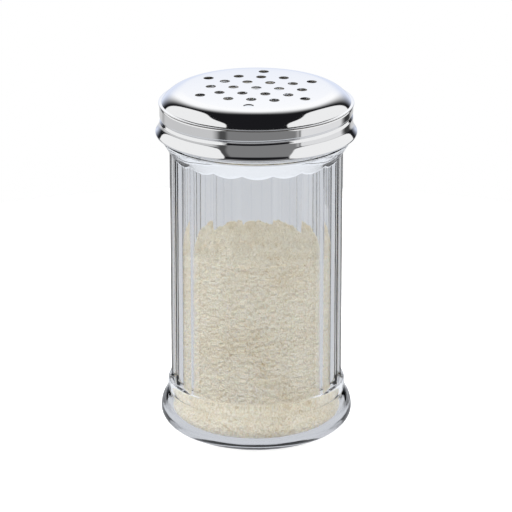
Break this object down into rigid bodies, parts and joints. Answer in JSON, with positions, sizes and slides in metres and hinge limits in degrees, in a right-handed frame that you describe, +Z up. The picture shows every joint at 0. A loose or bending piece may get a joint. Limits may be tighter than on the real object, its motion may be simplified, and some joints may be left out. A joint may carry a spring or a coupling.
{
  "type": "cheese shaker",
  "caption": "Table shaker for grated cheese: panelled pressed-glass jar with a perforated screw-on steel cap, half full.",
  "frame": {"origin": "centre of the flat ring that the jar stands on", "axes": "+Z up the jar's axis towards the cap, -Y towards the viewer and square to one glass panel"},
  "size_m": [0.078, 0.078, 0.1388],
  "materials": {
    "clear_glass": "polished",
    "polished_steel": "polished",
    "cheese": "matte"
  },
  "bodies": {
    "jar": {"glass_jar": "clear_glass", "grated_cheese": "cheese"},
    "cap": {"perforated_cap": "polished_steel"}
  },
  "joints": [
    {"name": "cap_lift", "type": "slide", "parent": "jar", "child": "cap", "axis": [0, 0, 1], "range_m": [0, 0.05]}
  ]
}
